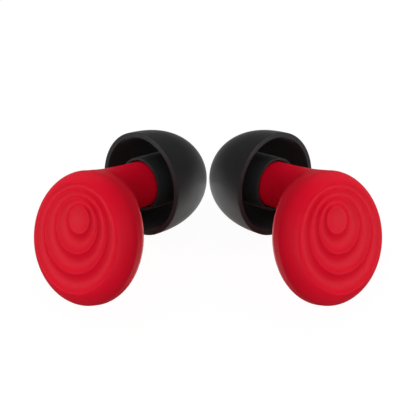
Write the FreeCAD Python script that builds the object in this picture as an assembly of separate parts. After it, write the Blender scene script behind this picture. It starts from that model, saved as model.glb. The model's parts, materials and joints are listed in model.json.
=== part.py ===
import FreeCAD, Part
import math
import os

# A pair of reusable ear plugs lying on a table, each the mirror image of the other.
# In each plug a soft knob is moulded over a stiff core, and a hollow dome tip is pushed on the
# core's nozzle. The core is a tube with foam in its bore, a mesh at its mouth and a cap at its back.
# Sizes are in millimetres and angles in degrees.
#
# A plug is built in its stem frame: the origin is the middle of the dome's rim, +Z runs along the
# stem into the ear, +Y is the upper side, and the knob is on the -Z side. The finished pair stands
# on z = 0 with the origin in the middle of its footprint, knobs to the front (-Y).

# Core: tube, bore, and the ridges that hold the ear tip
bore_radius = 1.5
nozzle_wall = 0.6
ridge_height = 0.26
ridge_count = 2
ridge_ramp = 0.25
ridge_flat = 0.4
ridge_length = 1.2
nozzle_radius = bore_radius + nozzle_wall
ridge_radius = nozzle_radius + ridge_height

# Clearances
fit = 0.02                 # round each piece that is set into another
grip_clearance = 0.04      # between the nozzle's ridges and the tip's bore
stem_clearance = 0.2       # between the soft stem and the mouth of the tip's tube
end_clearance = 0.3        # from the nozzle's end to the shoulder in the tip

# Ear tip: a dome, and inside it a tube that grips the nozzle
tip_radius = 6.25
tip_length = 9.2
tip_fullness = 2.53        # power in the dome's outline, where 2 would be half an ellipse
tip_wall = 0.6
tip_crown = 1.0            # wall at the top of the dome
collar_wall = 0.28         # the tube's wall at its mouth
collar_depth = 2.0         # how deep the tube's wide mouth takes the soft stem
port_length = 1.9          # from the shoulder that stops the nozzle to the top of the dome
sound_port_radius = 1.6
grip_bore_radius = ridge_radius + grip_clearance
grip_bore_end = tip_length - port_length
nozzle_end = grip_bore_end - end_clearance

# Soft stem, which is part of the knob
stem_wall = 0.62
stem_radius = nozzle_radius + stem_wall
stem_end = collar_depth - stem_clearance
neck_end = -0.36           # where the neck has become the straight stem
collar_bore_radius = stem_radius + stem_clearance
collar_radius = collar_bore_radius + collar_wall

# Mesh, cap and foam in the core
mesh_lip = 0.3             # wall of the nozzle round the mesh
mesh_thickness = 0.15
mesh_recess = 0.15         # from the nozzle's end down to the mesh
mesh_rim = 0.3
mesh_hole_radius = 0.17
mesh_hole_pitch = 0.5
cap_lip = 0.25             # wall of the core round the cap's head
cap_head = 0.4
cap_plug = 0.9
mesh_seat_radius = nozzle_radius - mesh_lip
mesh_seat = nozzle_end - mesh_recess - mesh_thickness
cap_seat_radius = nozzle_radius - cap_lip

# Knob: its face, its rounded rim, and the neck that turns onto the stem's axis
face_side = -1.32          # where the middle of the face lies beside the stem's axis
face_up = -3.64
face_back = -12.01
face_lean = 12.5           # how far the face looks up
face_turn = 7.4            # how far it looks to the side
face_radius = 6.14
knob_radius = 7.58
rim_depth = 1.76           # from the face to where the widest band starts
waist_depth = 2.6          # to where it ends
turn_depth = 2.42          # to where the sections start to turn onto the stem's axis
rim_powers = (1.7, 0.75)   # how each change starts and how it ends
neck_powers = (1.6, 3.02)
turn_powers = (1.6, 3.25)
rim_shares = (0.0, 0.06, 0.2, 0.42, 0.7, 1.0)
neck_steps = 9             # sections from the waist to the stem

# Ripples on the face: rings that crowd together towards the top of the knob
ring_count = 4
dish_radius = 1.51
ring_rise = 0.68           # how far each ring's centre lies above the one outside it
ring_side = (0.10, 0.27, 0.77, 1.39)
crest_lift = 0.28          # how far each crest stands out beyond the one outside it
trough_place = 0.48        # share of the way in from a crest to where the floor lies
trough_slope = 0.11        # the floor's depth below the crest as a share of the local width
dish_depth = 0.14
ring_step = (face_radius - dish_radius) / (ring_count - 1)

# Share of the way in, of the drop and of the climb at each circle from a crest to the next
trough_steps = (
    (0.0, 0.0, 0.0),
    (0.44 * trough_place, 0.69, 0.0),
    (trough_place, 1.0, 0.0),
    (0.75, 0.75, 0.25),
    (0.9, 0.36, 0.64),
)

# Anchor flange on the core, inside the knob, with holes that lock the soft material
flange_cover = 2.9         # from the middle of the face to the back of the flange
flange_thickness = 0.9
flange_radius = 4.3
flange_set_in = 0.3        # from the tube's outside to the flange's edge, on the neck's thin side
lock_hole_radius = 0.6
lock_hole_count = 5
lock_hole_spread = 200     # angle from the first hole to the last
lock_hole_edge = 0.6       # from each hole to the flange's edge
flange_back = face_back + flange_cover

# How the pair lies
plug_yaw = 44.6            # the stems point back and towards each other
plug_roll = -27.9
tip_gap = 0.3              # between the two domes
steepest_pitch = 45.0

circle_steps = 24          # points that carry each round section of the knob


def vector(x, y, z):
    return FreeCAD.Vector(x, y, z)


def mix(start, end, share):
    return start + (end - start) * share


def cylinder(radius, bottom, top, x=0.0, y=0.0):
    return Part.makeCylinder(radius, top - bottom, vector(x, y, bottom))


def lines(points):
    """Straight edges in the XZ plane through (radius, height) points."""
    ends = zip(points, points[1:])
    return [Part.LineSegment(vector(a[0], 0, a[1]), vector(b[0], 0, b[1])).toShape() for a, b in ends]


def revolved(edges):
    """A solid of revolution about Z from the closed outline that the edges make."""
    outline = Part.Face(Part.Wire(edges))
    return outline.revolve(vector(0, 0, 0), vector(0, 0, 1), 360)


# ---- Ear tip ----

def dome_height(radius, base_radius, length):
    """Height at which a dome has narrowed to the given radius."""
    return length * (1 - (radius / base_radius) ** 2) ** (1 / tip_fullness)


def dome_curve(base_radius, length, top_radius, steps=12):
    """The dome's outline from its base circle up to the circle of top_radius."""
    last_angle = math.asin(top_radius / base_radius)
    points = []
    for step in range(steps + 1):
        radius = base_radius * math.sin(mix(math.pi / 2, last_angle, step / steps))
        points.append(vector(radius, 0, dome_height(radius, base_radius, length)))
    curve = Part.BSplineCurve()
    curve.interpolate(points)
    return curve.toShape()


def make_ear_tip():
    inner_base = tip_radius - tip_wall
    inner_length = tip_length - tip_crown
    port_top = dome_height(sound_port_radius, tip_radius, tip_length)
    collar_top = dome_height(collar_radius, inner_base, inner_length)
    outside = dome_curve(tip_radius, tip_length, sound_port_radius)
    inside = dome_curve(inner_base, inner_length, collar_radius)
    collar = lines((
        (sound_port_radius, port_top),
        (sound_port_radius, grip_bore_end),
        (grip_bore_radius, grip_bore_end),
        (grip_bore_radius, collar_depth),
        (collar_bore_radius, collar_depth),
        (collar_bore_radius, 0),
        (collar_radius, 0),
        (collar_radius, collar_top),
    ))
    rim = lines(((inner_base, 0), (tip_radius, 0)))
    return revolved([outside] + collar + [inside] + rim)


# ---- Core and what it holds ----

def flange_middle():
    """The flange's centre, towards the middle of the knob, with its edge set into the tube's wall."""
    reach = (flange_radius - nozzle_radius + flange_set_in) / math.hypot(face_side, face_up)
    return face_side * reach, face_up * reach


def lock_holes(radius):
    """Rods through the flange, spread round the side that is away from the tube."""
    x, y = flange_middle()
    middle_angle = math.atan2(y, x)
    circle_radius = flange_radius - lock_hole_edge - lock_hole_radius
    rods = []
    for number in range(lock_hole_count):
        share = number / (lock_hole_count - 1) - 0.5
        angle = middle_angle + math.radians(lock_hole_spread) * share
        rod_x = x + circle_radius * math.cos(angle)
        rod_y = y + circle_radius * math.sin(angle)
        rods.append(cylinder(radius, flange_back - 1, flange_back + flange_thickness + 1, rod_x, rod_y))
    return rods


def core_outside(growth):
    """The core's tube and flange with no bore or ridges, grown by a clearance."""
    x, y = flange_middle()
    back = flange_back - growth
    front = flange_back + flange_thickness + growth
    flange = cylinder(flange_radius + growth, back, front, x, y).cut(lock_holes(lock_hole_radius - growth))
    tube = cylinder(nozzle_radius + growth, back, nozzle_end)
    return flange.fuse(tube).removeSplitter()


def ridge(start):
    """A ring on the nozzle, steep towards the knob and sloping towards the nozzle's end."""
    inside = nozzle_radius - fit
    outline = (
        (inside, start),
        (nozzle_radius, start),
        (ridge_radius, start + ridge_ramp),
        (ridge_radius, start + ridge_ramp + ridge_flat),
        (nozzle_radius, start + ridge_length),
        (inside, start + ridge_length),
        (inside, start),
    )
    return revolved(lines(outline))


def make_core():
    room = nozzle_end - collar_depth
    pitch = room / ridge_count
    first = collar_depth + (pitch - ridge_length) / 2
    ridges = [ridge(first + pitch * number) for number in range(ridge_count)]
    bore = cylinder(bore_radius, flange_back - 1, nozzle_end + 1)
    mesh_pocket = cylinder(mesh_seat_radius, mesh_seat, nozzle_end + 1)
    cap_pocket = cylinder(cap_seat_radius, flange_back - 1, flange_back + cap_head)
    return core_outside(0).fuse(ridges).cut([bore, mesh_pocket, cap_pocket]).removeSplitter()


def make_core_cap():
    shoulder = flange_back + cap_head
    head = cylinder(cap_seat_radius - fit, flange_back, shoulder)
    plug = cylinder(bore_radius - fit, shoulder, shoulder + cap_plug)
    return head.fuse(plug).removeSplitter()


def make_damper_foam():
    return cylinder(bore_radius - fit, flange_back + cap_head + cap_plug + fit, mesh_seat - fit)


def make_nozzle_mesh():
    """A round steel mesh with a plain rim and its holes in staggered rows."""
    reach = mesh_seat_radius - fit - mesh_rim - mesh_hole_radius
    row_pitch = mesh_hole_pitch * math.sqrt(3) / 2
    rows = int(reach / row_pitch)
    columns = int(reach / mesh_hole_pitch) + 1
    holes = []
    for row in range(-rows, rows + 1):
        for column in range(-columns, columns + 1):
            x = mesh_hole_pitch * (column + 0.5 * (row % 2))
            y = row_pitch * row
            if math.hypot(x, y) <= reach:
                holes.append(cylinder(mesh_hole_radius, mesh_seat - 1, nozzle_end, x, y))
    return cylinder(mesh_seat_radius - fit, mesh_seat, mesh_seat + mesh_thickness).cut(holes)


# ---- Knob ----

def face_frame():
    """The face's own frame: X to its side, Y up its slope, Z straight out of it."""
    lean = FreeCAD.Rotation(vector(1, 0, 0), face_lean)
    turn = FreeCAD.Rotation(vector(0, 1, 0), 180 + face_turn)
    return FreeCAD.Placement(vector(face_side, face_up, face_back), lean * turn)


def circle_points(centre, normal, radius):
    """Points round a closed circle that start on its upper side."""
    turn = FreeCAD.Rotation(vector(0, 0, 0), vector(0, 1, 0), normal, "ZYX")
    points = []
    for step in range(circle_steps):
        angle = 2 * math.pi * step / circle_steps
        points.append(centre + turn.multVec(vector(radius * math.sin(angle), radius * math.cos(angle), 0)))
    return points


def circle_wire(centre, normal, radius):
    curve = Part.BSplineCurve()
    curve.interpolate(circle_points(centre, normal, radius), True)
    return Part.Wire(curve.toShape())


def knob_circle(depth, radius, turn):
    """Points round a section of the knob. It faces along the face's axis at turn 0, the stem's at 1."""
    frame = face_frame()
    outward = frame.Rotation.multVec(vector(0, 0, 1))
    on_face_axis = frame.Base - outward * depth
    on_stem_axis = vector(0, 0, on_face_axis.dot(outward) / outward.z)
    centre = mix(on_face_axis, on_stem_axis, turn)
    return circle_points(centre, mix(outward, vector(0, 0, -1), turn), radius)


def fading(share, powers):
    """Falls from 1 to 0 as the share goes from 0 to 1."""
    start_power, end_power = powers
    return (1 - min(1, max(0, share)) ** start_power) ** end_power


def knob_sections():
    """Depth below the face, radius and turn of each section, from the face to the stem."""
    frame = face_frame()
    full_depth = -frame.inverse().multVec(vector(0, 0, neck_end)).z
    rows = []
    for share in rim_shares:
        rows.append((rim_depth * share, mix(face_radius, knob_radius, fading(1 - share, rim_powers)), 0))
    for step in range(neck_steps + 1):
        share = step / neck_steps
        depth = mix(waist_depth, full_depth, share)
        turn = 1 - fading((depth - turn_depth) / (full_depth - turn_depth), turn_powers)
        rows.append((depth, mix(stem_radius, knob_radius, fading(share, neck_powers)), turn))
    return rows


def ring(number):
    """Radius and centre of one crest, in the face's frame."""
    centre = vector(ring_side[number], ring_rise * number, crest_lift * number)
    return face_radius - ring_step * number, centre


def ripple_circles():
    """Centre, normal and radius of circles in the face's frame, from the outer crest to the dish."""
    rows = []
    for number in range(ring_count - 1):
        radius, centre = ring(number)
        next_radius, next_centre = ring(number + 1)
        drop = trough_slope * (radius - next_radius)
        shift = (centre - next_centre) * trough_slope
        for share, sink, climb in trough_steps:
            place = mix(centre, next_centre, share)
            place.z = centre.z - drop * sink + crest_lift * climb
            wide = mix(radius, next_radius, share)
            rows.append((place, vector(shift.x * sink, shift.y * sink, wide), wide))
    radius, centre = ring(ring_count - 1)
    rows.append((centre, vector(0, 0, 1), radius))
    rows.append((centre - vector(0, 0, dish_depth), vector(0, 0, 1), 0.6 * radius))
    return rows


def knob_side():
    """The knob's rounded rim, back and neck, as one smooth face round the sections."""
    rows = []
    for section in knob_sections():
        points = knob_circle(*section)
        rows.append(points + points[:1])
    surface = Part.BSplineSurface()
    surface.interpolate(rows)
    return surface.toShape()


def knob_skin():
    """The knob's outside: the ripples in its face, its side and neck, and the straight stem."""
    frame = face_frame()
    side = knob_side()
    ends = [Part.Wire(edge) for edge in side.Edges if edge.isClosed()]
    face_edge, neck_edge = sorted(ends, key=lambda wire: (wire.CenterOfMass - frame.Base).Length)
    wires = [face_edge]
    for centre, normal, radius in ripple_circles()[1:]:
        wires.append(circle_wire(frame.multVec(centre), frame.Rotation.multVec(normal), radius))
    ripples = Part.makeLoft(wires, False, True)
    stem_edge = circle_wire(vector(0, 0, stem_end), vector(0, 0, -1), stem_radius)
    stem = Part.makeLoft([neck_edge, stem_edge], False, True)
    caps = [Part.Face(wires[-1]), Part.Face(stem_edge)]
    shell = Part.makeShell([side.Faces[0]] + ripples.Faces + stem.Faces + caps)
    shell.sewShape()
    return Part.makeSolid(shell)


def make_knob():
    return knob_skin().cut(core_outside(fit)).removeSplitter()


# ---- The pair as it lies ----

def plug_turn(pitch):
    """The stem frame's rotation when the dome end of the stem is tipped down by pitch."""
    roll = FreeCAD.Rotation(vector(0, 0, 1), 180 + plug_roll)
    tip_down = FreeCAD.Rotation(vector(1, 0, 0), -90 - pitch)
    yaw = FreeCAD.Rotation(vector(0, 0, 1), -plug_yaw)
    return yaw * tip_down * roll


def lowest(points, turn):
    return min(turn.multVec(point).z for point in points)


def resting_pitch(knob_points, tip_points):
    """The pitch at which the knob and the dome both touch the table."""
    low, high = 0.0, steepest_pitch
    for _ in range(24):
        pitch = (low + high) / 2
        turn = plug_turn(pitch)
        if lowest(knob_points, turn) < lowest(tip_points, turn):
            low = pitch
        else:
            high = pitch
    return pitch


def resting_place(knob, tip):
    """Where the left plug's stem frame lies when the pair stands on z = 0."""
    knob_points = knob.tessellate(0.02)[0]
    tip_points = tip.tessellate(0.02)[0]
    turn = plug_turn(resting_pitch(knob_points, tip_points))
    points = [turn.multVec(point) for point in knob_points + tip_points]
    front = min(point.y for point in points)
    back = max(point.y for point in points)
    inner = max(point.x for point in points)
    floor = min(point.z for point in points)
    return FreeCAD.Placement(vector(-tip_gap / 2 - inner, -(front + back) / 2, -floor), turn)


def write_pair():
    pieces = {
        "ear_tip": make_ear_tip(),
        "knob": make_knob(),
        "core": make_core(),
        "core_cap": make_core_cap(),
        "damper_foam": make_damper_foam(),
        "nozzle_mesh": make_nozzle_mesh(),
    }
    place = resting_place(pieces["knob"], pieces["ear_tip"])
    os.makedirs("parts", exist_ok=True)
    for name, piece in pieces.items():
        left = piece.copy()
        left.Placement = place * left.Placement
        right = left.mirror(vector(0, 0, 0), vector(1, 0, 0))
        left.exportStep("parts/left_" + name + ".step")
        right.exportStep("parts/right_" + name + ".step")


write_pair()
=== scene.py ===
import json
import math

import bpy
import numpy as np
from mathutils import Matrix


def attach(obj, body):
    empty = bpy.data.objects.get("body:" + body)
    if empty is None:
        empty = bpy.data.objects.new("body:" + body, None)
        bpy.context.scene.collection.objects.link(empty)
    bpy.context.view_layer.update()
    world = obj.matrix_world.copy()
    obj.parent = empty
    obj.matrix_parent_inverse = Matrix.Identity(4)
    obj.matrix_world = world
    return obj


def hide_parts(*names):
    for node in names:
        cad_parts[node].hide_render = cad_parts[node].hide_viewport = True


# A pair of reusable ear plugs. The soft pieces are built here as fine meshes on the CAD frame:
# the knob with its ripple face, the hollow dome tip and the foam. The stiff core, its cap and
# the nozzle mesh stay as CAD nodes. Meshes are worked out in millimetres in the left plug's stem
# frame: the origin is the middle of the dome's rim, +Z points into the ear, +Y is the upper side.

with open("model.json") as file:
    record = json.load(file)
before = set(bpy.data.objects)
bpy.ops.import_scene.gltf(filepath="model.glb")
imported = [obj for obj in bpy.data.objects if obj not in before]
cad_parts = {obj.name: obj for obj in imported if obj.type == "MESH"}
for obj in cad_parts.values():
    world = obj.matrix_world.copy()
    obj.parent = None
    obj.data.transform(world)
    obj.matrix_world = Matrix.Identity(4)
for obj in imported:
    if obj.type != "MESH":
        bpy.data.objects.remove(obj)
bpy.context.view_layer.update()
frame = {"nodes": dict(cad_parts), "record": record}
record = frame["record"]

MM = 0.001

# Ear tip, in millimetres
TIP_RADIUS = 6.25
TIP_LENGTH = 9.2
TIP_FULLNESS = 2.53
TIP_WALL = 0.6
TIP_CROWN = 1.0
TIP_CORNER_RADII = (0.3, 0.15, 0.1, 0.15, 0.1, 0.07, 0.07, 0.6, 0.05, 0.07)
OUTER_DOME_STEPS = 72
INNER_DOME_STEPS = 48
COLLAR_RADIUS = 3.2
COLLAR_BORE = 2.92
COLLAR_DEPTH = 2.0
GRIP_BORE = 2.4
GRIP_END = 7.3
PORT_RADIUS = 1.6

# Knob: its face, its rim, and the neck that turns onto the stem's axis
STEM_RADIUS = 2.72
STEM_END = 1.8
STEM_BORE = 2.12
NECK_END = -0.36
BORE_BACK = -9.13
FACE_MIDDLE = (-1.32, -3.64, -12.01)
FACE_LEAN = 12.5
FACE_TURN = 7.4
FACE_RADIUS = 6.14
KNOB_RADIUS = 7.58
RIM_DEPTH = 1.76
WAIST_DEPTH = 2.6
TURN_DEPTH = 2.42
RIM_POWERS = (1.7, 0.75)
NECK_POWERS = (1.6, 3.02)
TURN_POWERS = (1.6, 3.25)
SIDE_ROWS = 110
SIDE_ROW_POWER = 1.6        # above 1, the rings are closer together at the rim
STEM_CORNER_RADII = (0.14, 0.08)

# Ripples: radius falls and the centre climbs from each ring to the next. Each crest has a
# gentle slope on its inner side, down to the trough, and then a wall up to the next crest.
RING_RADII = (6.14, 4.60, 3.05, 1.51)
RING_UP = (0.0, 0.68, 1.36, 2.04)
RING_SIDE = (0.10, 0.27, 0.77, 1.39)
CREST_LIFT = 0.28
TROUGH_PLACE = 0.48
TROUGH_SLOPE = 0.11
WALL_POWER = 2.5
WALL_STEPS = 26
WALL_STEP_POWER = 1.3
DISH_DEPTH = 0.14
DISH_POWER = 2.5
DISH_STEPS = 13
DISH_START = 0.12           # where the dish's first ring is, as a share of its radius
SAME_PLACE = 1e-6           # two rings no further apart than this are one ring

# Foam in the core
FOAM_RADIUS = 1.47
FOAM_ENDS = (-7.78, 6.67)
FOAM_POLE_RADIUS = 0.02     # the innermost ring at each end, next to the middle point
FOAM_CORNER_RADIUS = 0.15
FOAM_COLUMNS = 64

PLUG_ROLL = -27.9           # about the stem's axis, in degrees
COLUMNS = 192
CORNER_STEPS = 5
STRAIGHT_STEP = 0.4

SILICONE_IOR = 1.41

# Each plug has its own soft lights, which light and are shaded by that plug alone: direction
# round from the back towards its outer side and up, in degrees, how brightly each would light
# a white card that faces it, and width in metres. The last one shines up through the table.
LAMPS = (
    ("front", 150, 27, 0.43, 0.32),
    ("top", -150, 50, 0.19, 0.30),
    ("side", 106, 13, 0.22, 0.16),
    ("back", 36, 30, 0.66, 0.36),
    ("table", -48, -40, 1.05, 0.24),
)
GLOSSY_LAMPS = ("side", "table")

# Places and lengths in metres, but the lens and the sensor in millimetres
LAMP_DISTANCE = 0.33
LAMP_TARGET = (0, 0, 0.005)
CAMERA_PLACE = np.array((0.0, -0.08835, 0.08205))
CAMERA_VIEW = np.array((0.0, 0.07598, -0.06502))
CAMERA_LENS = 86.54
CAMERA_SENSOR = 36.0
CAMERA_CLIP = 0.005
FLOOR_HALF_SIZE = 0.6

# Brightness of the floor and the sky
FLOOR_COLOUR = 0.75
FLOOR_SHOWN_WHITE = 1.2
FLOOR_SHOWN_SHARE = 0.8     # how much of what the camera sees of the floor is plain white
SKY_LIGHT = 0.32
MIRRORED_SKY = (0.03, 0.10)  # what gloss sees overhead and level
SKY_PLACES = (0.1, 0.9)     # heights between which the sky changes


def mix(start, end, share):
    return start + (end - start) * share


# ---- Building meshes ----

def stem_place():
    """Rotation and origin of the left plug's stem frame, from the ear seat in the record."""
    seat = next(m for m in record["mounts"] if m["name"] == "left_ear_seat")
    axis = np.array(seat["axis"], float)
    axis /= np.linalg.norm(axis)
    yaw = math.atan2(axis[0], axis[1])
    pitch = math.asin(-axis[2])
    level_up = np.array((
        math.sin(yaw) * math.sin(pitch),
        math.cos(yaw) * math.sin(pitch),
        math.cos(pitch),
    ))
    level_side = np.cross(level_up, axis)
    roll = math.radians(PLUG_ROLL)
    up = math.cos(roll) * level_up - math.sin(roll) * level_side
    return np.column_stack((np.cross(up, axis), up, axis)), np.array(seat["pos_m"], float)


STEM_TURN, STEM_ORIGIN = stem_place()


def to_world(points, side):
    """Stem-frame millimetres to metres in the row frame, mirrored for the right plug."""
    world = np.asarray(points) @ STEM_TURN.T * MM + STEM_ORIGIN
    if side == "right":
        world = world * (-1, 1, 1)
    return world


def make_piece(name, points, faces, side, body, cad_node):
    """A smooth mesh object from stem-frame points, riding on its body in place of a CAD node."""
    if side == "right":
        faces = [face[::-1] for face in faces]
    mesh = bpy.data.meshes.new(name)
    mesh.from_pydata(to_world(points, side).tolist(), [], faces)
    mesh.validate()
    mesh.polygons.foreach_set("use_smooth", [True] * len(mesh.polygons))
    piece = bpy.data.objects.new(name, mesh)
    bpy.context.scene.collection.objects.link(piece)
    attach(piece, body)
    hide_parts(cad_node)
    return piece


def rows_to_mesh(rows, first_pole=None, last_pole=None, closed=False):
    """Points and quads from rings of equal length, with a point or a loop at the ends."""
    count = len(rows[0])
    points = [tuple(point) for row in rows for point in row]
    faces = []
    pairs = list(zip(range(len(rows)), range(1, len(rows))))
    if closed:
        pairs.append((len(rows) - 1, 0))
    for low, high in pairs:
        for column in range(count):
            after = (column + 1) % count
            faces.append((
                low * count + column,
                low * count + after,
                high * count + after,
                high * count + column,
            ))
    for pole, row, outward in ((first_pole, 0, True), (last_pole, len(rows) - 1, False)):
        if pole is None:
            continue
        points.append(tuple(pole))
        for column in range(count):
            ends = (row * count + column, row * count + (column + 1) % count)
            faces.append((len(points) - 1,) + (ends[::-1] if outward else ends))
    return points, faces


def path_lengths(path):
    return np.concatenate(([0.0], np.cumsum(np.linalg.norm(np.diff(path, axis=0), axis=1))))


def trimmed(path, start, end):
    """The path with that much of its length cut from each end."""
    along = path_lengths(path)
    low, high = start, along[-1] - end
    inner = path[(along > low) & (along < high)]
    ends = [[np.interp(place, along, path[:, axis]) for axis in (0, 1)] for place in (low, high)]
    return np.vstack((ends[:1], inner, ends[1:]))


def straight(start, end):
    """A path of short pieces from start to end."""
    pieces = max(1, round(math.dist(start, end) / STRAIGHT_STEP))
    return np.array([[mix(a, b, n / pieces) for a, b in zip(start, end)] for n in range(pieces + 1)])


def corner_points(before, corner, after):
    """Points on the curve that rounds a corner, between the ends of the two paths."""
    shares = [step / CORNER_STEPS for step in range(1, CORNER_STEPS)]
    return [mix(mix(before, corner, share), mix(corner, after, share), share) for share in shares]


def rounded_loop(paths, radii):
    """A closed outline from paths end to end, with the corner after each path rounded."""
    loop = []
    cut = [trimmed(path, radii[n - 1], radii[n]) for n, path in enumerate(paths)]
    for n, path in enumerate(cut):
        loop.extend(path)
        loop.extend(corner_points(path[-1], paths[n][-1], cut[(n + 1) % len(cut)][0]))
    return np.array(loop)


def rounded_path(corners, radii):
    """An open outline through corners, with each inner corner rounded."""
    paths = [straight(a, b) for a, b in zip(corners, corners[1:])]
    trims = (0,) + tuple(radii) + (0,)
    cut = [trimmed(path, trims[n], trims[n + 1]) for n, path in enumerate(paths)]
    outline = list(cut[0])
    for n, path in enumerate(cut[1:]):
        outline.extend(corner_points(outline[-1], np.array(corners[n + 1]), path[0]))
        outline.extend(path)
    return outline


def spin(outline, columns):
    """Rings round Z from an outline of (radius, height) points."""
    angles = 2 * np.pi * np.arange(columns) / columns
    around = np.column_stack((np.cos(angles), np.sin(angles)))
    return [np.column_stack((r * around, np.full(columns, z))) for r, z in outline]


# ---- Ear tip ----

def dome_path(base_radius, length, top_radius, steps):
    """A dome's outline from its base circle up to the circle of top_radius."""
    angles = np.linspace(math.pi / 2, math.asin(top_radius / base_radius), steps)
    radii = base_radius * np.sin(angles)
    heights = length * (1 - np.minimum(1, radii / base_radius) ** 2) ** (1 / TIP_FULLNESS)
    return np.column_stack((radii, heights))


def make_ear_tip(side):
    """The dome with its wall, its port, and the tube inside that grips the nozzle."""
    outside = dome_path(TIP_RADIUS, TIP_LENGTH, PORT_RADIUS, OUTER_DOME_STEPS)
    inner_base = TIP_RADIUS - TIP_WALL
    inner_length = TIP_LENGTH - TIP_CROWN
    inside = dome_path(inner_base, inner_length, COLLAR_RADIUS, INNER_DOME_STEPS)[::-1]
    corners = (
        tuple(outside[-1]),
        (PORT_RADIUS, GRIP_END),
        (GRIP_BORE, GRIP_END),
        (GRIP_BORE, COLLAR_DEPTH),
        (COLLAR_BORE, COLLAR_DEPTH),
        (COLLAR_BORE, 0.0),
        (COLLAR_RADIUS, 0.0),
        tuple(inside[0]),
    )
    walls = [straight(a, b) for a, b in zip(corners, corners[1:])]
    rim = straight((inner_base, 0.0), (TIP_RADIUS, 0.0))
    outline = rounded_loop([outside] + walls + [inside, rim], TIP_CORNER_RADII)
    points, faces = rows_to_mesh(spin(outline, COLUMNS), closed=True)
    return make_piece(side + "_silicone_tip", points, faces, side, side + "_tip", side + "_ear_tip")


# ---- Knob ----

def face_axes():
    """Columns are the face's side, up and outward directions in the stem frame."""
    lean, turn = math.radians(FACE_LEAN), math.radians(180 + FACE_TURN)
    cos_lean, sin_lean = math.cos(lean), math.sin(lean)
    cos_turn, sin_turn = math.cos(turn), math.sin(turn)
    about_x = np.array(((1, 0, 0), (0, cos_lean, -sin_lean), (0, sin_lean, cos_lean)))
    about_y = np.array(((cos_turn, 0, sin_turn), (0, 1, 0), (-sin_turn, 0, cos_turn)))
    return about_x @ about_y


FACE = face_axes()
ANGLES = 2 * np.pi * np.arange(COLUMNS) / COLUMNS


def ring_directions(normal):
    """Unit directions round a normal, starting on the upper side of the stem frame."""
    normal = normal / np.linalg.norm(normal)
    up = np.array((0.0, 1.0, 0.0)) - normal[1] * normal
    up /= np.linalg.norm(up)
    return np.outer(np.sin(ANGLES), np.cross(up, normal)) + np.outer(np.cos(ANGLES), up)


def knob_circle(depth, radius, turn):
    """A section of the knob, at right angles to the face's axis (turn 0) or the stem's (turn 1)."""
    outward = FACE[:, 2]
    on_face_axis = np.array(FACE_MIDDLE) - outward * depth
    on_stem_axis = np.array((0, 0, on_face_axis @ outward / outward[2]))
    centre = mix(on_face_axis, on_stem_axis, turn)
    return centre + radius * ring_directions(mix(outward, np.array((0.0, 0.0, -1.0)), turn))


def fading(share, powers):
    """Falls from 1 to 0 as the share goes from 0 to 1."""
    return (1 - min(1, max(0, share)) ** powers[0]) ** powers[1]


def side_rows():
    """Rings from the face's edge over the rounded rim and along the neck to the stem."""
    full_depth = -(np.array((0, 0, NECK_END)) - FACE_MIDDLE) @ FACE[:, 2]
    rows = []
    for depth in full_depth * np.linspace(0, 1, SIDE_ROWS) ** SIDE_ROW_POWER:
        if depth < WAIST_DEPTH:
            radius = mix(FACE_RADIUS, KNOB_RADIUS, fading(1 - depth / RIM_DEPTH, RIM_POWERS))
        else:
            share = (depth - WAIST_DEPTH) / (full_depth - WAIST_DEPTH)
            radius = mix(STEM_RADIUS, KNOB_RADIUS, fading(share, NECK_POWERS))
        turn = 1 - fading((depth - TURN_DEPTH) / (full_depth - TURN_DEPTH), TURN_POWERS)
        rows.append(knob_circle(depth, radius, turn))
    return rows


def on_face(x, y, z):
    """Stem-frame points from points in the face's frame, given as arrays."""
    return np.array(FACE_MIDDLE) + np.column_stack((x, y, z)) @ FACE.T


def ripple_rows():
    """Rings from inside the dish out to the outer crest, and the dish's middle point."""
    around = ring_directions(FACE[:, 2]) @ FACE[:, :2]
    rings = list(zip(RING_RADII, RING_SIDE, RING_UP))
    rows = []
    radius, x, y = rings[-1]
    lift = CREST_LIFT * (len(rings) - 1)
    for share in np.linspace(DISH_START, 1.0, DISH_STEPS, endpoint=False):
        z = lift - DISH_DEPTH * (1 - share ** DISH_POWER)
        rows.append(on_face(x + share * radius * around[:, 0], y + share * radius * around[:, 1],
                            np.full(COLUMNS, z)))
    for number in range(len(rings) - 2, -1, -1):
        outer, inner = rings[number], rings[number + 1]
        shift = np.array((outer[1] - inner[1], outer[2] - inner[2]))
        width = outer[0] - inner[0] + around @ shift
        drop = TROUGH_SLOPE * width
        outer_lift = CREST_LIFT * number
        for place in 1 - np.linspace(0, 1, WALL_STEPS + 1) ** WALL_STEP_POWER:
            radius, x, y = (mix(a, b, place) for a, b in zip(outer, inner))
            if place < TROUGH_PLACE:
                z = outer_lift - drop * (1 - (1 - place / TROUGH_PLACE) ** 2)
            else:
                climb = ((place - TROUGH_PLACE) / (1 - TROUGH_PLACE)) ** WALL_POWER
                z = outer_lift - drop + (CREST_LIFT + drop) * climb
            rows.append(on_face(x + radius * around[:, 0], y + radius * around[:, 1],
                                z + np.zeros(COLUMNS)))
    merged = [rows[0]]
    for row in rows[1:]:
        if np.abs(row - merged[-1]).max() > SAME_PLACE:
            merged.append(row)
    radius, x, y = rings[-1]
    middle = on_face(np.array([x]), np.array([y]), np.array([lift - DISH_DEPTH]))[0]
    return merged, middle


def softened(rows):
    """Rings moved towards the mean of their neighbours, which rounds the crests a little."""
    grid = np.array(rows)
    grid[1:-1] = 0.5 * grid[1:-1] + 0.25 * (grid[:-2] + grid[2:])
    return list(grid)


def stem_rings(outline):
    """Rings round the stem's axis whose columns carry on from the neck's."""
    around = ring_directions(np.array((0.0, 0.0, -1.0)))
    return [np.array((0, 0, height)) + radius * around for radius, height in outline]


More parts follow.
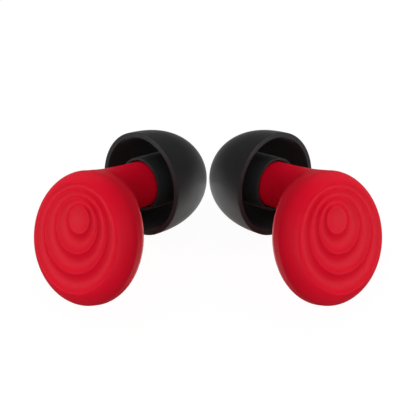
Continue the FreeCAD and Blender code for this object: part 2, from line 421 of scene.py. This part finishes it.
def make_knob(side):
    """The face, rim, neck and stem in one skin, with the hole in the stem for the core."""
    face_rows, middle = ripple_rows()
    body_rows = softened(face_rows + side_rows()[1:])
    stem_outline = rounded_path((
        (STEM_RADIUS, NECK_END),
        (STEM_RADIUS, STEM_END),
        (STEM_BORE, STEM_END),
        (STEM_BORE, BORE_BACK),
    ), STEM_CORNER_RADII)
    stem_rows = stem_rings(stem_outline)[1:]
    points, faces = rows_to_mesh(body_rows + stem_rows, middle, (0, 0, BORE_BACK))
    return make_piece(side + "_soft_knob", points, faces, side, side + "_plug", side + "_knob")


# ---- Foam in the core ----

def make_foam(side):
    low, high = FOAM_ENDS
    corners = (
        (FOAM_POLE_RADIUS, low),
        (FOAM_RADIUS, low),
        (FOAM_RADIUS, high),
        (FOAM_POLE_RADIUS, high),
    )
    outline = rounded_path(corners, (FOAM_CORNER_RADIUS, FOAM_CORNER_RADIUS))
    points, faces = rows_to_mesh(spin(outline, FOAM_COLUMNS), (0, 0, low), (0, 0, high))
    piece = make_piece(side + "_foam_plug", points, faces, side, side + "_plug", side + "_damper_foam")
    return piece


# ---- Materials ----

def new_material(name):
    material = bpy.data.materials.new(name)
    material.use_nodes = True
    tree = material.node_tree
    tree.nodes.clear()
    shader = tree.nodes.new("ShaderNodeBsdfPrincipled")
    output = tree.nodes.new("ShaderNodeOutputMaterial")
    tree.links.new(shader.outputs["BSDF"], output.inputs["Surface"])
    return material, tree, shader


def grey(level):
    return (level, level, level)


def noise(tree, scale, detail=3.0):
    place = tree.nodes.new("ShaderNodeTexCoord")
    texture = tree.nodes.new("ShaderNodeTexNoise")
    texture.inputs["Scale"].default_value = scale
    texture.inputs["Detail"].default_value = detail
    tree.links.new(place.outputs["Object"], texture.inputs["Vector"])
    return texture.outputs["Fac"]


def ramp(tree, source, colours, places=(0.3, 0.7)):
    """Blends between two colours as the source goes between two places."""
    node = tree.nodes.new("ShaderNodeValToRGB")
    for element, place, colour in zip(node.color_ramp.elements, places, colours):
        element.position = place
        element.color = (*colour, 1.0)
    tree.links.new(source, node.inputs["Fac"])
    return node.outputs["Color"]


def bump(tree, source, distance):
    node = tree.nodes.new("ShaderNodeBump")
    node.inputs["Distance"].default_value = distance
    tree.links.new(source, node.inputs["Height"])
    return node.outputs["Normal"]


def moulded(name, clouds, colours, gloss_scale, roughness, grain):
    """A moulded surface: clouds of two colours, uneven gloss, and fine grain.

    Clouds are (scale, detail), roughness is (least, most), and grain is (scale, depth in mm).
    """
    material, tree, shader = new_material(name)
    tree.links.new(ramp(tree, noise(tree, *clouds), colours), shader.inputs["Base Color"])
    gloss = ramp(tree, noise(tree, gloss_scale), [grey(level) for level in roughness])
    tree.links.new(gloss, shader.inputs["Roughness"])
    grain_scale, depth = grain
    tree.links.new(bump(tree, noise(tree, grain_scale, 2.0), depth * MM), shader.inputs["Normal"])
    return material, shader


def red_silicone():
    colours = ((0.615, 0.0018, 0.0165), (0.650, 0.0024, 0.0185))
    material, shader = moulded("red_silicone", (260.0, 4.0), colours, 1500.0, (0.38, 0.46),
                               (11000.0, 0.004))
    shader.inputs["IOR"].default_value = SILICONE_IOR
    shader.inputs["Specular IOR Level"].default_value = 0.15
    return material


def black_silicone():
    colours = ((0.0250, 0.0255, 0.0260), (0.0290, 0.0295, 0.0300))
    material, shader = moulded("black_silicone", (320.0, 4.0), colours, 1800.0, (0.38, 0.46),
                               (12000.0, 0.003))
    shader.inputs["IOR"].default_value = SILICONE_IOR
    shader.inputs["Specular IOR Level"].default_value = 0.3
    shader.inputs["Sheen Weight"].default_value = 0.15
    shader.inputs["Sheen Roughness"].default_value = 0.25
    return material


def core_plastic():
    colours = (grey(0.030), grey(0.038))
    return moulded("core_plastic", (500.0, 3.0), colours, 3000.0, (0.45, 0.58), (16000.0, 0.004))[0]


def damper_foam():
    """Grey foam whose pores are cells of a Voronoi pattern, with painted shade that darkens each pore
    towards its middle.
    """
    material, tree, shader = new_material("damper_foam")
    place = tree.nodes.new("ShaderNodeTexCoord")
    pores = tree.nodes.new("ShaderNodeTexVoronoi")
    pores.inputs["Scale"].default_value = 5200.0
    tree.links.new(place.outputs["Object"], pores.inputs["Vector"])
    # Painted shade: the grey is darkest at the middle of each pore, where the bump makes the surface
    # lowest, and lighter on the cell walls.
    colour = ramp(tree, pores.outputs["Distance"], (grey(0.03), grey(0.16)), (0.1, 0.6))
    tree.links.new(colour, shader.inputs["Base Color"])
    shader.inputs["Roughness"].default_value = 0.95
    tree.links.new(bump(tree, pores.outputs["Distance"], 0.05 * MM), shader.inputs["Normal"])
    return material


def steel_mesh():
    material, tree, shader = new_material("steel_mesh")
    cloud = noise(tree, 6000.0)
    colour = ramp(tree, cloud, ((0.50, 0.50, 0.51), (0.62, 0.62, 0.63)))
    tree.links.new(colour, shader.inputs["Base Color"])
    tree.links.new(ramp(tree, cloud, (grey(0.28), grey(0.42))), shader.inputs["Roughness"])
    shader.inputs["Metallic"].default_value = 1.0
    return material


def dress(thing, material):
    thing.data.materials.clear()
    thing.data.materials.append(material)


# ---- Floor, light and camera ----

def ray_is(tree, kinds):
    """One where a ray is any of these kinds, else zero."""
    path = tree.nodes.new("ShaderNodeLightPath")
    total = path.outputs[kinds[0]]
    for kind in kinds[1:]:
        most = tree.nodes.new("ShaderNodeMath")
        most.operation = "MAXIMUM"
        tree.links.new(total, most.inputs[0])
        tree.links.new(path.outputs[kind], most.inputs[1])
        total = most.outputs[0]
    return total


def make_floor():
    """A pale table that shows white to the camera and keeps the shadow of the plugs."""
    mesh = bpy.data.meshes.new("floor")
    size = FLOOR_HALF_SIZE
    corners = [(-size, -size, 0), (size, -size, 0), (size, size, 0), (-size, size, 0)]
    mesh.from_pydata(corners, [], [(0, 1, 2, 3)])
    floor = bpy.data.objects.new("floor", mesh)
    bpy.context.scene.collection.objects.link(floor)
    material = bpy.data.materials.new("white_table")
    material.use_nodes = True
    tree = material.node_tree
    tree.nodes.clear()
    plain = tree.nodes.new("ShaderNodeBsdfDiffuse")
    plain.inputs["Color"].default_value = (*grey(FLOOR_COLOUR), 1)
    bright = tree.nodes.new("ShaderNodeEmission")
    bright.inputs["Color"].default_value = (1, 1, 1, 1)
    bright.inputs["Strength"].default_value = FLOOR_SHOWN_WHITE
    both = tree.nodes.new("ShaderNodeMixShader")
    output = tree.nodes.new("ShaderNodeOutputMaterial")
    share = tree.nodes.new("ShaderNodeMath")
    share.operation = "MULTIPLY"
    share.inputs[1].default_value = FLOOR_SHOWN_SHARE
    tree.links.new(ray_is(tree, ("Is Camera Ray",)), share.inputs[0])
    tree.links.new(share.outputs[0], both.inputs["Fac"])
    tree.links.new(plain.outputs[0], both.inputs[1])
    tree.links.new(bright.outputs[0], both.inputs[2])
    tree.links.new(both.outputs[0], output.inputs["Surface"])
    dress(floor, material)


def sky(tree, overhead, level):
    """A grey background that goes from one brightness all round to another overhead."""
    place = tree.nodes.new("ShaderNodeTexCoord")
    parts = tree.nodes.new("ShaderNodeSeparateXYZ")
    tree.links.new(place.outputs["Generated"], parts.inputs[0])
    shade = ramp(tree, parts.outputs["Z"], (grey(level), grey(overhead)), SKY_PLACES)
    light = tree.nodes.new("ShaderNodeBackground")
    tree.links.new(shade, light.inputs["Color"])
    return light.outputs[0]


def make_world():
    """An even grey sky that gloss sees darker and the camera sees white."""
    world = bpy.data.worlds.new("studio")
    world.use_nodes = True
    tree = world.node_tree
    tree.nodes.clear()
    white = tree.nodes.new("ShaderNodeBackground")
    white.inputs["Color"].default_value = (1, 1, 1, 1)
    shown = tree.nodes.new("ShaderNodeMixShader")
    mirrored = tree.nodes.new("ShaderNodeMixShader")
    output = tree.nodes.new("ShaderNodeOutputWorld")
    tree.links.new(ray_is(tree, ("Is Glossy Ray", "Is Transmission Ray")), mirrored.inputs["Fac"])
    tree.links.new(sky(tree, SKY_LIGHT, SKY_LIGHT), mirrored.inputs[1])
    tree.links.new(sky(tree, *MIRRORED_SKY), mirrored.inputs[2])
    tree.links.new(ray_is(tree, ("Is Camera Ray",)), shown.inputs["Fac"])
    tree.links.new(mirrored.outputs[0], shown.inputs[1])
    tree.links.new(white.outputs[0], shown.inputs[2])
    tree.links.new(shown.outputs[0], output.inputs["Surface"])
    bpy.context.scene.world = world


def aim(thing, place, target):
    """Puts thing at place, looking at target with its top upwards."""
    place = np.array(place, float)
    back = place - np.array(target, float)
    back /= np.linalg.norm(back)
    side = np.cross((0, 0, 1), back)
    side /= np.linalg.norm(side)
    turn = np.column_stack((side, np.cross(back, side), back))
    matrix = np.eye(4)
    matrix[:3, :3] = turn
    matrix[:3, 3] = place
    thing.matrix_world = Matrix(matrix.tolist())


def make_lamp(side, kind, around, up, brightness, size, lit):
    """A round soft light that lights only the things in lit, and that only they shade."""
    name = side + "_" + kind + "_softbox"
    lamp = bpy.data.lights.new(name, "AREA")
    lamp.shape = "DISK"
    lamp.size = size
    lamp.energy = brightness * (math.pi * LAMP_DISTANCE) ** 2
    thing = bpy.data.objects.new(name, lamp)
    bpy.context.scene.collection.objects.link(thing)
    across = -1 if side == "left" else 1
    around, up = math.radians(around), math.radians(up)
    direction = (
        across * math.sin(around) * math.cos(up),
        math.cos(around) * math.cos(up),
        math.sin(up),
    )
    aim(thing, LAMP_DISTANCE * np.array(direction), LAMP_TARGET)
    thing.visible_glossy = kind in GLOSSY_LAMPS
    receivers = bpy.data.collections.new(name + "_lit")
    for piece in lit:
        receivers.objects.link(piece)
    thing.light_linking.receiver_collection = receivers
    thing.light_linking.blocker_collection = receivers


def make_camera():
    camera = bpy.data.cameras.new("camera")
    camera.sensor_width = CAMERA_SENSOR
    camera.lens = CAMERA_LENS
    camera.clip_start = CAMERA_CLIP
    thing = bpy.data.objects.new("camera", camera)
    bpy.context.scene.collection.objects.link(thing)
    aim(thing, CAMERA_PLACE, CAMERA_PLACE + CAMERA_VIEW)
    bpy.context.scene.camera = thing


# ---- The scene ----

red = red_silicone()
black = black_silicone()
plastic = core_plastic()
foam = damper_foam()
steel = steel_mesh()

make_floor()
make_world()
make_camera()
for side in ("left", "right"):
    finishes = (
        (make_ear_tip(side), black),
        (make_knob(side), red),
        (make_foam(side), foam),
        (frame["nodes"][side + "_core"], plastic),
        (frame["nodes"][side + "_core_cap"], plastic),
        (frame["nodes"][side + "_nozzle_mesh"], steel),
    )
    for piece, material in finishes:
        dress(piece, material)
    plug = [piece for piece, _ in finishes]
    for lamp in LAMPS:
        make_lamp(side, *lamp, plug)
bpy.context.scene.view_settings.view_transform = "Standard"
